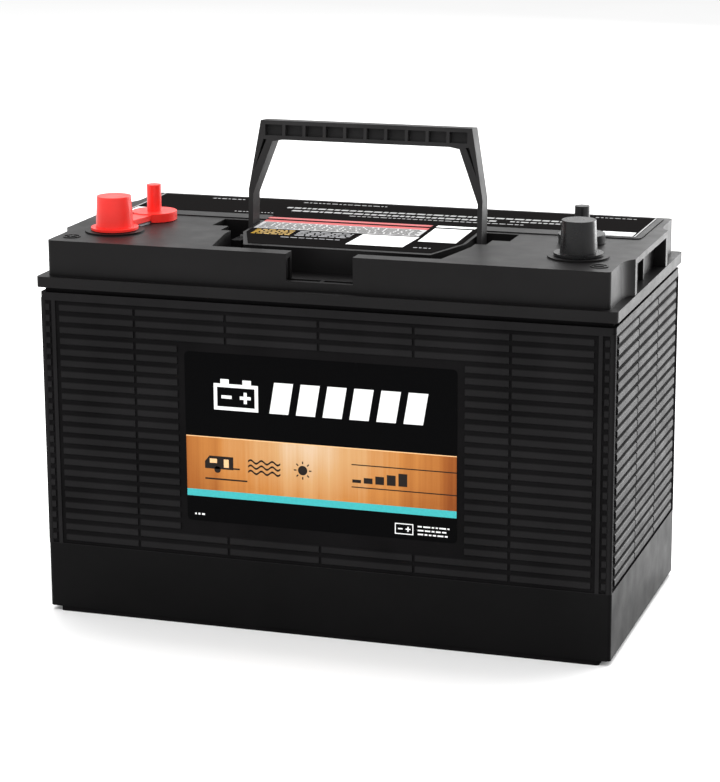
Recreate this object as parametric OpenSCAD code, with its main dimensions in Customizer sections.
// Deep cycle battery, 12 V, flooded, with a folding carry handle.
// X runs along the length, the labelled face looks towards -Y, Z is up.
// The origin is on the floor under the middle of the battery. All sizes are in mm.

/* [Container] */
// Length over the lip of the cover, the longest measure
lip_l = 331; // [300:1:360]
// Width over the lip of the cover
lip_w = 173; // [150:1:190]
// Gap from the lip's edge to the end walls of the container
end_inset = 2; // [1:0.1:6]
// Gap from the lip's edge to the long walls of the container
side_inset = 2.6; // [1:0.1:6]
// Thickness of the container's outer wall
wall_t = 3.2; // [2:0.1:5]
// Thickness of the container's floor
floor_t = 4; // [2:0.5:8]
// Radius of the container's upright corners
corner_r = 2; // [1:0.5:12]
// Height of the step under the end walls
foot_h = 3; // [0:0.5:6]
// Inset of the foot from the end walls
foot_inset = 5.5; // [0:0.5:12]
// Distance between two partitions
cell_pitch = 53.83; // [40:0.01:60]
// Thickness of a partition
partition_t = 2; // [1:0.1:4]

/* [Ribs] */
// Number of rows of ribs
rib_rows = 22; // [10:1:30]
// Distance from row to row
rib_pitch = 6.37; // [4:0.01:10]
// Height of one rib
rib_h = 4.7; // [2:0.1:8]
// How far the ribs stand out of the wall
rib_out = 0.8; // [0.3:0.1:2]
// Width of the gap between two columns of ribs
rib_gap = 1.6; // [0.5:0.1:4]
// Height at which the lowest groove starts
rib_z = 41.6; // [20:0.1:80]
// Half length of the ribbed field on the long faces
rib_half_l = 152.8; // [120:0.1:158]
// Half width of the ribbed field on the end faces
rib_half_w = 76; // [60:0.1:80]
// Distance of the end face's column gaps from the middle
end_gap_y = 25.5; // [15:0.1:40]

/* [Cover] */
// Height of the deck above the floor
deck_z = 216; // [180:0.5:240]
// Height at which the lip starts
lip_z = 190; // [160:0.5:210]
// Height of the lip
lip_h = 6; // [3:0.1:10]
// Gap from the lip's edge to the cover's wall
cover_inset = 5.3; // [2:0.1:8]
// Thickness of the cover's walls and deck
cover_t = 3; // [2:0.1:5]
// Height of the well's floor around the folded handle
well_z = 200; // [195:0.5:210]
// Height of the front edge of the platform inside the well
island_z0 = 214; // [205:0.5:216]
// Height of the rear edge of the platform
island_z1 = 216.2; // [205:0.1:217]
// Half width of the finger notch in the front wall
notch_half = 19; // [10:0.5:40]

/* [Handle] */
// Distance of the handle's pivots behind the middle
pivot_y = 1; // [-10:0.5:10]
// Height of the pivots
pivot_z = 206; // [204:0.1:212]
// Backward lean of the handle at rest, degrees
lean = 4; // [0:0.5:10]
// Height of the grip's top edge above the pivots
handle_h = 69.5; // [40:0.1:71]
// Height of the grip
grip_h = 10.8; // [8:0.1:20]
// Front to back thickness of the handle
handle_t = 11; // [6:0.1:12]
// Thickness of the legs and flanges
strap_t = 2.8; // [2:0.1:5]
// Half width over the legs
leg_half = 69.3; // [50:0.1:71]
// Half width over the grip
grip_half = 62.4; // [40:0.1:66]
// Number of open cells along the grip
grip_cells = 10; // [4:1:16]

/* [Terminals] */
// Distance of each post from the middle of the length
post_x = 134.5; // [100:0.1:145]
// Distance of the posts in front of the middle
post_y = 45.5; // [20:0.1:60]
// Top radius of the positive post
pos_r = 8.75; // [7:0.01:10]
// Top radius of the negative post
neg_r = 7.95; // [7:0.01:10]
// Height of the top of the posts
post_top = 235; // [225:0.1:245]
// Distance of each stud from the middle of the length
stud_x = 126.8; // [100:0.1:140]
// Distance of the studs in front of the middle
stud_y = 5; // [-10:0.1:20]
// Radius of the studs
stud_r = 3.1; // [2:0.05:5]

/* [Vent cover] */
// Length of the vent cover
vent_l = 312; // [250:1:314]
// Front edge of the vent cover behind the middle
vent_y0 = 11.5; // [10:0.5:30]
// Depth of the vent cover
vent_w = 66.5; // [40:0.5:67]
// Height of the vent cover's top
vent_top = 216.6; // [216:0.1:222]
// Distance of the filling holes behind the middle
fill_y = 44; // [20:0.5:60]
// Radius of the filling holes
fill_r = 8.9; // [6:0.1:12]

/* [Plates] */
// Number of positive plates in each cell
pos_plates = 7; // [3:1:9]
// Thickness of a positive plate
pos_t = 2.5; // [1:0.1:4]
// Thickness of a negative plate
neg_t = 2; // [1:0.1:4]
// Thickness of a separator
sep_t = 1.1; // [0.5:0.05:2]
// Distance of each cell's middle from the next
stack_pitch = 53.6; // [45:0.1:55]
// Height of the plates' top edge
plate_top = 150; // [120:1:165]

/* [Hidden] */
$fn = 64;
eps = 0.01;
wall_l = lip_l - 2 * end_inset;
wall_w = lip_w - 2 * side_inset;
inner_l = wall_l - 2 * wall_t;
inner_w = wall_w - 2 * wall_t;
cover_l = lip_l - 2 * cover_inset;
cover_w = 163.4;
neck_z = 187;
neck_inset = 1.3;
rib_slope = 0.9;
// Short rib stubs between the corner strip and the corner bead.
stub_gap = 5.9;
stub_l = 2.5;
band_z = rib_z + rib_rows * rib_pitch + 0.8;
lip_r = 2.5;
cover_r = 2.5;
cells = 6;
end_cell = cells - 1;
// Label panel in the ribbed field, and how many rows run above and below it.
panel_half = 81.8;
rows_above = 3;
rows_below = 2;
label_half = 78.3;
label_z0 = 61.7;
label_z1 = 158.6;
label_t = 0.25;
label_r = 2.5;
// Shape of the handle's well and of the platform inside it.
well_front = 72;
well_front_half = 65.5;
well_flare_y = 35;
well_half = 71.8;
well_back = 7.6;
island_front = 53;
island_front_half = 54.2;
island_side_y = 22.5;
island_half = 65.6;
well_t = 2.5;
pin_r = 2.85;
pivot_r = 2.9;
pin_end = 75.8;
// Slots beside the handle's legs, in two steps, and the saddle that carries each pin.
slot_mid = 78;
slot_mid_front = 26;
slot_half = 88;
slot_front = 13;
saddle_x = 72.2;
saddle_top = 207.2;
saddle_front = 9;
notch_z = 201;
// Grip block on each end of the cover, with a hand hold.
block_x = 165.2;
block_y = 56;
block_fillet = 19;
hold_x = 158.2;
hold_y = 38.5;
hold_z0 = 196;
hold_z1 = 212.7;
// Terminal seats.
boss_r = 16.8;
boss_h = 1;
ring_r = 12.4;
pad_r = 11;
pad_top = 219.4;
pad_z = 214;
arm_w = 10;
core_r = 6.15;
cap_clear = 0.3;
cap_z = deck_z + boss_h + 0.3;
flange_r = 13.4;
flange_t = 1.4;
shell_r = 13;
shell_z = deck_z + 0.3;
shell_top = 221.2;
tube_r = 4.15;
tube_top = 236.6;
// Cell parts.
rest_z = 14.5;
plate_z = rest_z;
plate_half_y = 74;
sep_half_y = 78;
strap_y = 45;
strap_z = 158;
strap_h = 7;
strap_w = 14;
lug_w = 12;
weld_z = 174;
weld_r = 5;
stack_gap = 0.03;
stack_step = pos_t + neg_t + 2 * sep_t + 4 * stack_gap;

black = [0.12, 0.12, 0.13];
grey = [0.3, 0.3, 0.31];
red = [0.93, 0.22, 0.18];
lead = [0.55, 0.57, 0.6];
steel = [0.75, 0.75, 0.77];
brown = [0.32, 0.18, 0.13];
ivory = [0.88, 0.87, 0.82];

// Upright block with rounded corners, standing on Z = 0.
module slab(l, w, h, r) {
    linear_extrude(h) {
        square([l - 2 * r, w], center = true);
        square([l, w - 2 * r], center = true);
        for (sx = [-1, 1], sy = [-1, 1])
            translate([sx * (l / 2 - r), sy * (w / 2 - r)]) circle(r);
    }
}

// Block given by its low and high corners.
module block(a, b) {
    translate(a) cube([b[0] - a[0], b[1] - a[1], b[2] - a[2]]);
}

// ---- Container ----

// Side view of stacked ribs: rows r0 to r1, standing out of a thin backing strip.
function rib_tooth(i) = let (z = rib_z + i * rib_pitch + (rib_pitch - rib_h) / 2, c = rib_slope)
    [[0, z], [rib_out, z + c], [rib_out, z + rib_h - c], [0, z + rib_h]];

module rib_comb(r0, r1, length) {
    back = 0.5;
    teeth = [for (i = [r0:r1]) each rib_tooth(i)];
    low = teeth[0][1];
    high = teeth[len(teeth) - 1][1];
    rotate([90, 0, 90]) linear_extrude(length)
        polygon(concat([[-back, low]], teeth, [[-back, high]]));
}

// Ribs on the long face that looks towards +Y, from x0 to x1.
module long_ribs(x0, x1, r0, r1) {
    translate([x0, wall_w / 2, 0]) rib_comb(r0, r1, x1 - x0);
}

module long_face_ribs() {
    top = rib_rows - 1;
    half_gap = rib_gap / 2;
    side = cell_pitch * 2;
    for (s = [0, 1]) mirror([s, 0, 0]) {
        long_ribs(side + half_gap, rib_half_l, 0, top);
        long_ribs(panel_half + half_gap, side - half_gap, 0, top);
        for (rows = [[0, rows_below - 1], [rib_rows - rows_above, top]]) {
            long_ribs(cell_pitch + half_gap, panel_half + half_gap, rows[0], rows[1]);
            long_ribs(half_gap, cell_pitch - half_gap, rows[0], rows[1]);
        }
        long_ribs(rib_half_l + stub_gap, rib_half_l + stub_gap + stub_l, 0, top);
    }
}

module end_face_ribs() {
    top = rib_rows - 1;
    half_gap = rib_gap / 2;
    spans = [[-rib_half_w, -end_gap_y - half_gap],
             [-end_gap_y + half_gap, end_gap_y - half_gap],
             [end_gap_y + half_gap, rib_half_w]];
    for (span = spans)
        translate([wall_l / 2, span[1], 0]) rotate(-90) rib_comb(0, top, span[1] - span[0]);
}

// Upright flat strips and round beads beside the corners.
module corner_strips() {
    z0 = rib_z - 1;
    bead_r = 2;
    bead_in = bead_r - rib_out;
    strip_w = 2.2;
    strip_x = rib_half_l + 2.4 + strip_w / 2;
    for (sx = [-1, 1], sy = [-1, 1]) {
        translate([sx * strip_x - strip_w / 2, sy * wall_w / 2 - rib_out, z0])
            cube([strip_w, 2 * rib_out, band_z - z0 + 1]);
        translate([sx * (wall_l / 2 - bead_in), sy * (wall_w / 2 - bead_in), z0])
            cylinder(r = bead_r, h = band_z - z0 + 1);
    }
}

module cell_space(x0, x1) {
    block([x0, -inner_w / 2, rest_z], [x1, inner_w / 2, lip_z + 1]);
    // Sediment space between the plate rests.
    for (y = [-60, -20, 20, 60])
        block([x0, y - 16, floor_t], [x1, y + 16, rest_z + 1]);
}

module container() color(black) {
    difference() {
        union() {
            translate([0, 0, foot_h]) slab(wall_l, wall_w, neck_z - foot_h, corner_r);
            translate([0, 0, foot_h])
                slab(wall_l + 2 * rib_out, wall_w + 2 * rib_out, rib_z - 0.6 - foot_h, corner_r + rib_out);
            slab(wall_l - 2 * foot_inset, wall_w, foot_h + 1, corner_r);
            translate([0, 0, neck_z - 1])
                slab(wall_l - 2 * neck_inset, wall_w - 2 * neck_inset, lip_z - neck_z + 1, corner_r);
            translate([0, 0, band_z])
                slab(wall_l + 2 * rib_out, wall_w + 2 * rib_out, neck_z - band_z, corner_r + rib_out);
            for (s = [0, 1]) {
                mirror([0, s, 0]) long_face_ribs();
                mirror([s, 0, 0]) end_face_ribs();
            }
            corner_strips();
        }
        for (i = [-2:1])
            cell_space(i * cell_pitch + partition_t / 2, (i + 1) * cell_pitch - partition_t / 2);
        for (s = [0, 1])
            mirror([s, 0, 0]) cell_space(2 * cell_pitch + partition_t / 2, inner_l / 2);
        for (k = [0:cells - 2])
            translate([(k - 2) * cell_pitch, weld_side(k) * strap_y, weld_z])
                rotate([0, 90, 0]) cylinder(r = weld_r, h = 2 * partition_t, center = true);
    }
}

// ---- Cover ----

// Plan of the well that takes the folded handle, grown outwards by g.
module well_plan(g) {
    right = [[well_front_half + g, -well_front - g], [well_half + g, -well_flare_y],
             [well_half + g, well_back + g], [island_half - g, well_back + g],
             [island_half - g, -island_side_y + g], [island_front_half - g, -island_front + g]];
    left = [for (i = [len(right) - 1:-1:0]) [-right[i][0], right[i][1]]];
    polygon(concat(right, left));
}

// Height of the platform at a distance y behind the middle.
function island_at(y) =
    island_z0 + (island_z1 - island_z0) * (y + island_front) / (vent_y0 + island_front);

// Plan of the lowered platform between the well and the vent cover.
module island_plan() {
    right = [[island_front_half, -island_front], [island_half, -island_side_y],
             [island_half, vent_y0 - 0.4]];
    left = [for (i = [len(right) - 1:-1:0]) [-right[i][0], right[i][1]]];
    polygon(concat(right, left));
}

// Grip block on the end wall towards +X, running out into the wall in hollow curves.
module grip_block() {
    difference() {
        block([cover_l / 2 - 2, -block_y, lip_z], [block_x, block_y, deck_z]);
        for (side = [-1, 1])
            translate([cover_l / 2 + block_fillet, side * block_y, lip_z - 1])
                cylinder(r = block_fillet, h = deck_z - lip_z + 2, $fn = 96);
    }
}

// Hand hold in the grip block, with a rib in its middle.
module hand_hold() {
    rib = 1.2;
    for (side = [-1, 1])
        block([hold_x, min(side * rib, side * hold_y), hold_z0],
              [block_x + 1, max(side * rib, side * hold_y), hold_z1]);
    block([cover_l / 2 + 0.5, -hold_y, hold_z0], [block_x + 1, hold_y, hold_z1]);
}

// Slot beside the handle's leg at +X, without the saddle under its pin.
module leg_slot() {
    difference() {
        union() {
            block([well_half - 1, -slot_mid_front, well_z], [slot_mid, well_back, deck_z + 1]);
            block([well_half - 1, -slot_front, well_z], [slot_half, well_back, deck_z + 1]);
        }
        block([saddle_x, -saddle_front, 0], [slot_mid, well_back + 1, saddle_top]);
    }
}

// Space above the platform, with a floor that rises towards the rear.
module island_space() {
    rear = vent_y0 - 0.4;
    intersection() {
        linear_extrude(deck_z + 10) island_plan();
        rotate([90, 0, 90]) linear_extrude(2 * well_half, center = true)
            polygon([[-island_front - 1, island_at(-island_front - 1)], [rear + 1, island_at(rear + 1)],
                     [rear + 1, deck_z + 10], [-island_front - 1, deck_z + 10]]);
    }
}

module cover_body() {
    translate([0, 0, lip_z]) slab(lip_l, lip_w, lip_h, lip_r);
    translate([0, 0, lip_z]) slab(cover_l, cover_w, deck_z - lip_z, cover_r);
    for (s = [0, 1]) mirror([s, 0, 0]) grip_block();
    for (s = [-1, 1])
        translate([s * post_x, -post_y, deck_z - 1]) cylinder(r = boss_r, h = 1 + boss_h);
}

// Everything that hangs under the deck inside the hollow of the cover.
module cover_inside() {
    top = deck_z - cover_t + 1;
    translate([0, 0, well_z - well_t]) linear_extrude(top - well_z + well_t) well_plan(well_t);
    translate([0, 0, island_z0 - cover_t]) linear_extrude(top - island_z0 + cover_t) island_plan();
    // Floor under the vent cover, with the filling tubes.
    block([-vent_l / 2 - 3.4, vent_y0 - 3.4, 206.8], [vent_l / 2 + 3.4, vent_y0 + vent_w + 3.4, top]);
    for (i = [0:end_cell])
        translate([(i - 2.5) * stack_pitch, fill_y, 184]) cylinder(r = fill_r + 2, h = 24);
    // Partitions that meet those of the container.
    for (k = [-2:2])
        block([k * cell_pitch - partition_t / 2, -cover_w / 2 + 1, lip_z],
              [k * cell_pitch + partition_t / 2, cover_w / 2 - 1, top]);
    for (s = [0, 1]) mirror([s, 0, 0]) {
        // Bearing blocks of the handle.
        block([well_half, -slot_mid_front - 3, well_z - 3], [slot_half + 2.5, well_back + 3, top]);
        // Walls behind the hand hold.
        block([hold_x - 2.5, -hold_y - 3, lip_z], [cover_l / 2 - 1, hold_y + 3, top]);
        // Seats of the terminals.
        translate([post_x, -post_y, 204]) cylinder(r = ring_r + 3, h = top - 204);
        translate([stud_x, -stud_y, 209]) cylinder(r = pad_r + 3, h = top - 209);
        block([stud_x - 9, -post_y, 209], [post_x + 6, -stud_y, top]);
    }
}

// Seat for the lead terminal in the deck at +X.
module terminal_seat() {
    translate([post_x, -post_y, pad_z - 2]) cylinder(r = ring_r, h = 10);
    translate([post_x, -post_y, 180]) cylinder(r = ring_r - 2, h = 40);
    translate([stud_x, -stud_y, pad_z]) cylinder(r = pad_r + 0.1, h = 10);
    terminal_arm(pad_z, pad_z + 5, 0.1);
}

module cover() color(black) {
    difference() {
        union() {
            difference() {
                cover_body();
                translate([0, 0, lip_z - 1])
                    slab(cover_l - 2 * cover_t, cover_w - 2 * cover_t,
                         deck_z - cover_t - lip_z + 1, cover_r - 1);
            }
            cover_inside();
        }
        translate([0, 0, well_z]) linear_extrude(30) well_plan(0);
        island_space();
        block([-notch_half, -lip_w, notch_z], [notch_half, -well_front + 0.1, deck_z + 1]);
        translate([0, vent_y0 + vent_w / 2, 210])
            slab(vent_l + 0.8, vent_w + 0.8, 10, 4.4);
        for (i = [0:end_cell])
            translate([(i - 2.5) * stack_pitch, fill_y, 180]) cylinder(r = fill_r, h = 40);
        for (s = [0, 1]) mirror([s, 0, 0]) {
            leg_slot();
            translate([well_half - 1, pivot_y, pivot_z]) rotate([0, 90, 0])
                cylinder(r = pivot_r, h = pin_end + 0.7 - well_half + 1);
            hand_hold();
            terminal_seat();
        }
    }
}

// ---- Handle ----

// Side strap of the handle at +X, drawn upright from the pivot.
module handle_side() {
    kink = 29.7;
    in_low = 27.5;
    in_top = 57.7;
    in_half = 55.2;
    outer = [[leg_half, 0], [leg_half, kink], [grip_half, handle_h]];
    inner = [[leg_half - strap_t, 0], [leg_half - strap_t, in_low], [in_half, in_top]];
    hollow = [[leg_half - strap_t - 0.6, in_low + 14], [grip_half - 1.6, handle_h - grip_h],
              [in_half + 3.6, handle_h - grip_h]];
    web_t = 2.4;
    difference() {
        rotate([90, 0, 0]) linear_extrude(handle_t, center = true)
            polygon([outer[0], outer[1], outer[2], [in_half - 6, handle_h],
                     [in_half - 6, handle_h - grip_h], inner[2], inner[1], inner[0]]);
        for (s = [0, 1]) mirror([0, s, 0])
            translate([0, handle_t / 2 + 1, 0]) rotate([90, 0, 0])
                linear_extrude((handle_t - web_t) / 2 + 1) polygon(hollow);
    }
    translate([leg_half - strap_t, 0, 0]) rotate([0, 90, 0]) {
        cylinder(r = handle_t / 2, h = strap_t);
        cylinder(r = handle_t / 2 - 1.2, h = well_half - 0.4 - leg_half + strap_t);
        cylinder(r = pin_r, h = pin_end - leg_half + strap_t);
    }
}

// Bar between the legs, and the open cells along both of its sides.
module grip_bar() {
    translate([-grip_half + 2.4, -handle_t / 2, handle_h - grip_h])
        cube([2 * grip_half - 4.8, handle_t, grip_h]);
}

module grip_cell_space() {
    flange = 2.3;
    rib = 1.8;
    web_t = 2.4;
    cell_l = 2 * (grip_half - strap_t + 1) / grip_cells;
    for (i = [0:grip_cells - 1], s = [-1, 1])
        translate([(i - grip_cells / 2) * cell_l + rib / 2,
                   s > 0 ? web_t / 2 : -handle_t / 2 - 1, handle_h - grip_h + flange])
            cube([cell_l - rib, (handle_t - web_t) / 2 + 1, grip_h - 2 * flange]);
}

module handle() color(grey) {
    translate([0, pivot_y, pivot_z]) rotate([-lean, 0, 0]) difference() {
        union() {
            grip_bar();
            for (s = [0, 1]) mirror([s, 0, 0]) handle_side();
        }
        grip_cell_space();
    }
}

// ---- Vent cover ----

module vent_manifold() color(black) {
    tray_top = vent_top - 1.4;
    difference() {
        union() {
            translate([0, vent_y0 + vent_w / 2, 210.3]) slab(vent_l, vent_w, tray_top - 210.3, 4);
            for (i = [0:end_cell])
                translate([(i - 2.5) * stack_pitch, fill_y, 188]) cylinder(r = 7.6, h = 23);
        }
        translate([0, vent_y0 + vent_w / 2, 212])
            slab(vent_l - 3.2, vent_w - 3.2, 10, 2.4);
        for (i = [0:end_cell])
            translate([(i - 2.5) * stack_pitch, fill_y, 180]) {
                cylinder(r = 5.5, h = 40);
                seal_groove();
            }
    }
    for (s = [-1, 1])
        translate([s * 2 * stack_pitch, fill_y, 211.5]) difference() {
            cylinder(r = 8, h = 3);
            translate([0, 0, 1]) cylinder(r = 6.1, h = 3);
        }
}

module seal_groove() {
    translate([0, 0, 14]) difference() {
        cylinder(r = 9, h = 2);
        translate([0, 0, -1]) cylinder(r = 6.8, h = 4);
    }
}

module vent_lid() color(black) {
    translate([0, vent_y0 + vent_w / 2, vent_top - 1.4]) slab(vent_l, vent_w, 1.4, 4);
}

module vent_seals() color([0.05, 0.05, 0.05]) {
    for (i = [0:end_cell])
        translate([(i - 2.5) * stack_pitch, fill_y, 195])
            rotate_extrude() translate([7.68, 0]) circle(0.86);
}

module flame_arrestor(s) color(ivory) {
    translate([s * 2 * stack_pitch, fill_y, 212.5]) cylinder(r = 6, h = 2);
}

// ---- Terminals, drawn at +X ----

module terminal_arm(z0, z1, grow) {
    slant = atan2(post_x - stud_x, post_y - stud_y);
    reach = norm([post_x - stud_x, post_y - stud_y]);
    translate([stud_x, -stud_y, 0]) rotate(slant)
        block([-arm_w / 2 - grow, -reach, z0], [arm_w / 2 + grow, 0, z1]);
}

// Lead bushing with the tapered post shell, the stud pad and the arm between them.
module bushing(r_top) {
    taper = 1 / 18;
    post_h = post_top - deck_z - boss_h;
    color(lead) difference() {
        union() {
            translate([post_x, -post_y, pad_z - 2]) cylinder(r = ring_r, h = 5);
            translate([post_x, -post_y, 205]) cylinder(r = ring_r - 2.1, h = 8);
            translate([post_x, -post_y, pad_z + 2])
                cylinder(r1 = r_top + (post_h + 1) * taper, r2 = r_top, h = post_h + 1);
            translate([stud_x, -stud_y, pad_z]) cylinder(r = pad_r, h = pad_top - pad_z);
            terminal_arm(pad_z, deck_z + boss_h, 0);
        }
        translate([post_x, -post_y, 200]) cylinder(r = core_r + 0.05, h = 40);
        translate([stud_x, -stud_y, 200]) cylinder(r = stud_r + 0.02, h = 40);
        translate([stud_x, -stud_y, pad_z - 1]) cylinder(r = 6.02, h = 3.5, $fn = 6);
    }
}

// Post cast onto the strap of the end cell, welded inside the bushing.
module post() color(lead) {
    translate([post_x, -post_y, strap_z + strap_h])
        cylinder(r = core_r, h = post_top - 0.4 - strap_z - strap_h);
}

module stud() color(steel) {
    translate([stud_x, -stud_y, pad_z]) {
        cylinder(r = 6, h = 2.4, $fn = 6);
        cylinder(r = stud_r, h = 21.4);
    }
}

// Soft cap over post and stud.
module terminal_cap(r_top, wall) {
    taper = 1 / 18;
    out_h = post_top + 1.3 - cap_z - flange_t / 2;
    in_r = r_top + cap_clear;
    difference() {
        union() {
            translate([post_x, -post_y, cap_z]) cylinder(r = flange_r, h = flange_t);
            translate([post_x, -post_y, cap_z + flange_t / 2])
                cylinder(r1 = in_r + wall + out_h * taper, r2 = in_r + wall, h = out_h);
            translate([stud_x, -stud_y, shell_z]) cylinder(r = shell_r, h = shell_top - shell_z);
            translate([stud_x, -stud_y, shell_top - 1]) cylinder(r = tube_r, h = tube_top - shell_top + 1);
            terminal_arm(cap_z + flange_t / 4, shell_top - 0.5, 0.6);
        }
        translate([post_x, -post_y, cap_z - 1])
            cylinder(r1 = in_r + (post_top - cap_z + 1.3) * taper, r2 = in_r, h = post_top - cap_z + 1.3);
        translate([stud_x, -stud_y, shell_z - 1]) cylinder(r = pad_r + 0.4, h = pad_top + 0.3 - shell_z + 1);
        translate([stud_x, -stud_y, shell_z]) cylinder(r = stud_r + 0.15, h = 19.4);
        terminal_arm(cap_z - 3, shell_top - 1.7, -0.6);
        terminal_arm(shell_z - 1, cap_z - 0.1, cap_clear);
    }
}

module at_left() { mirror([1, 0, 0]) children(); }

module positive_cap() color(red) at_left() terminal_cap(pos_r, 0.6);
module negative_cap() color(grey) terminal_cap(neg_r, 0.95);
module positive_bushing() at_left() bushing(pos_r);
module negative_bushing() bushing(neg_r);
module positive_post() at_left() post();
module negative_post() post();
module positive_stud() at_left() stud();
module negative_stud() stud();

// ---- Labels ----

module front_label() color([0.05, 0.05, 0.05]) {
    mid = (label_z0 + label_z1) / 2;
    translate([0, -wall_w / 2, mid]) rotate([90, 0, 0])
        slab(2 * label_half, label_z1 - label_z0, label_t, label_r);
}

// Printed band with a tab at each end and a tongue in the middle that run towards the front.
module vent_label() color([0.08, 0.08, 0.08]) {
    half = 152.5;
    rear = 74.5;
    front = 25;
    tab = 130;
    tab_front = 14;
    tongue = 63.5;
    tongue_front = vent_y0 + 0.6;
    right = [[tongue, tongue_front], [tongue, front], [tab, front], [tab, tab_front],
             [half, tab_front], [half, rear]];
    left = [for (i = [len(right) - 1:-1:0]) [-right[i][0], right[i][1]]];
    translate([0, 0, vent_top]) linear_extrude(label_t) polygon(concat(right, left));
}

module island_label() color([0.6, 0.6, 0.6]) {
    front = -island_front + 4;
    rear = vent_y0 - 0.8;
    side = island_half - 2;
    tilt = atan2(island_z1 - island_z0, vent_y0 + island_front);
    translate([0, 0, island_at(0)]) rotate([tilt, 0, 0]) linear_extrude(label_t)
        polygon([[-53, front], [53, front], [side, -island_side_y], [side, rear],
                 [-side, rear], [-side, -island_side_y]]);
}

// ---- Cells ----

// Side of the weld through partition k: -1 front, 1 rear.
function weld_side(k) = k % 2 == 0 ? 1 : -1;
// Side of the positive strap in cell i.
function pos_side(i) = i % 2 == 0 ? -1 : 1;
function cell_x(i) = (i - 2.5) * stack_pitch;

module plate_row(i, count, t, side) {
    for (n = [0:count - 1])
        translate([cell_x(i) + (n - (count - 1) / 2) * stack_step - t / 2, 0, 0]) {
            block([0, -plate_half_y, plate_z], [t, plate_half_y, plate_top]);
            block([0, side * strap_y - lug_w / 2, plate_top - 1], [t, side * strap_y + lug_w / 2, strap_z]);
        }
}

module positive_plates(i) color(brown) plate_row(i, pos_plates, pos_t, pos_side(i));
module negative_plates(i) color(lead) plate_row(i, pos_plates + 1, neg_t, -pos_side(i));

module separators(i) color(ivory) {
    count = 2 * pos_plates;
    for (n = [0:count - 1])
        translate([cell_x(i) + (n - (count - 1) / 2) * stack_step / 2
                   + (n % 2 == 0 ? 1 : -1) * (pos_t - neg_t) / -4 - sep_t / 2, 0, 0])
            block([0, -sep_half_y, plate_z], [sep_t, sep_half_y, plate_top + 4]);
}

// Cast strap over one row of lugs, with an upstand beside the partition it is welded through.
// Direction 1 or -1 is the neighbouring cell, 0 means the terminal post stands on the strap.
module strap(i, side, toward) color(lead) {
    half = 24.8;
    y = side * strap_y;
    x = cell_x(i);
    block([x - half, y - strap_w / 2, strap_z], [x + half, y + strap_w / 2, strap_z + strap_h]);
    if (toward != 0) {
        face = (i - 2.5 + toward / 2) * cell_pitch - toward * partition_t / 2;
        translate([face - toward * 2.5, y, weld_z - 2.5]) cube([5, strap_w, 19], center = true);
        block([min(face, face - toward * 6), y - strap_w / 2, strap_z],
              [max(face, face - toward * 6), y + strap_w / 2, strap_z + strap_h]);
    }
}

module positive_strap(i) strap(i, pos_side(i), i == 0 ? 0 : -1);
module negative_strap(i) strap(i, -pos_side(i), i == end_cell ? 0 : 1);

module intercell_weld(k) color(lead) {
    translate([(k - 2) * cell_pitch, weld_side(k) * strap_y, weld_z])
        rotate([0, 90, 0]) cylinder(r = weld_r, h = partition_t, center = true);
}

container();
cover();
handle();
vent_manifold();
vent_lid();
vent_seals();
flame_arrestor(-1);  // flame_arrestor_left
flame_arrestor(1);  // flame_arrestor_right
positive_cap();
negative_cap();
positive_bushing();
negative_bushing();
positive_post();
negative_post();
positive_stud();
negative_stud();
front_label();
vent_label();
island_label();
for (i = [0:5]) {
    positive_plates(i);
    negative_plates(i);
    separators(i);
    positive_strap(i);
    negative_strap(i);
}
for (k = [0:4])
    intercell_weld(k);
